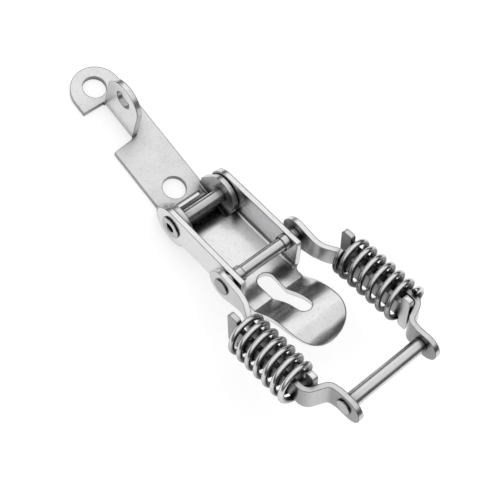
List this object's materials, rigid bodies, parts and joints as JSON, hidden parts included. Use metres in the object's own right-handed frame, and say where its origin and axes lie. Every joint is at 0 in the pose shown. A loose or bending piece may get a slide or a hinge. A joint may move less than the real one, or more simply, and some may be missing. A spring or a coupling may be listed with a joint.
{
  "type": "over centre toggle latch",
  "caption": "Over centre toggle latch: screwed base with padlock tongue, channel lever with finger tab, and a sprung claw with a round bar that hooks a keeper.",
  "frame": {"origin": "midway between the two screw holes, on the underside of the base plate", "axes": "+X along the plate towards the claw, +Z away from the mounting surface, +Y to the left of the claw's direction"},
  "size_m": [0.0999, 0.0387, 0.0305],
  "materials": {
    "plated_sheet": "bright plated sheet steel, satin with soft streaks",
    "strap_steel": "plated sheet steel with burnished edges",
    "rivet_steel": "bright plated round steel",
    "spring_wire": "polished spring wire"
  },
  "bodies": {
    "base": {"base_plate": "plated_sheet", "lever_pivot": "rivet_steel"},
    "lever": {"lever": "plated_sheet"},
    "arms": {"arm_pivot": "rivet_steel", "rear_strap_left": "strap_steel", "rear_strap_right": "strap_steel", "spring_left": "spring_wire", "spring_right": "spring_wire"},
    "claw": {"front_strap_left": "strap_steel", "front_strap_right": "strap_steel", "claw_bar": "rivet_steel"}
  },
  "joints": [
    {"name": "lever_swing", "type": "hinge", "parent": "base", "child": "lever", "pos_m": [0.0233, 0, 0.0064], "axis": [0, -1, 0], "range_deg": [0, 164]},
    {"name": "arm_swing", "type": "hinge", "parent": "lever", "child": "arms", "pos_m": [0.04147, 0, 0.01468], "axis": [0, -1, 0], "range_deg": [-178, 1]},
    {"name": "claw_slide", "type": "slide", "parent": "arms", "child": "claw", "axis": [0.9397, 0, 0.342], "range_m": [0, 0.0045], "stiffness_N_per_m": 8000, "springref_m": -0.0005, "deforming": ["spring_left", "spring_right"]}
  ],
  "couplings": [
    {"joint": "arm_swing", "follows": "lever_swing", "ratio": -1.0793}
  ]
}
